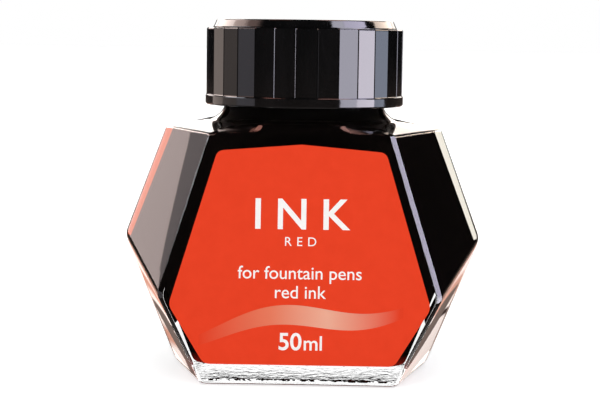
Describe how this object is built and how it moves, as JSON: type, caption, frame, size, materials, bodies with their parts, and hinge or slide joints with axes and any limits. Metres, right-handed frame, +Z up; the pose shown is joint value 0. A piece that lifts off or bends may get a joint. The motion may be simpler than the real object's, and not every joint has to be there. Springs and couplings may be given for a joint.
{
  "type": "ink bottle",
  "caption": "Faceted clear glass ink bottle filled with red ink, with labels on its front and back and a faceted black screw cap that unscrews from a threaded neck.",
  "frame": {"origin": "centre of the underside, on the neck axis, on the surface that the bottle stands on", "axes": "+Z up along the neck axis, +X to the right across the labelled front face, which looks along -Y"},
  "size_m": [0.0644, 0.047, 0.0624],
  "materials": {
    "clear_glass": "clear polished glass",
    "red_ink": "deep red liquid",
    "red_label": "satin printed label",
    "white_label": "satin printed label",
    "black_plastic": "polished",
    "insert_plastic": "satin moulded",
    "liner_foam": "fine foam"
  },
  "bodies": {
    "bottle": {"glass_bottle": "clear_glass", "ink": "red_ink", "front_label": "red_label", "back_label": "white_label"},
    "lift": {"cap_liner": "liner_foam"},
    "cap": {"cap_shell": "black_plastic", "cap_top_disc": "black_plastic", "cap_insert": "insert_plastic"}
  },
  "joints": [
    {"name": "cap_lift", "type": "slide", "parent": "bottle", "child": "lift", "axis": [0, 0, 1], "range_m": [0, 0.0041]},
    {"name": "cap_turn", "type": "hinge", "parent": "lift", "child": "cap", "pos_m": [0, 0, 0.0471], "axis": [0, 0, 1], "range_deg": [0, 450]}
  ],
  "couplings": [
    {"joint": "cap_lift", "follows": "cap_turn", "m_per_rad": 0.0005093}
  ]
}
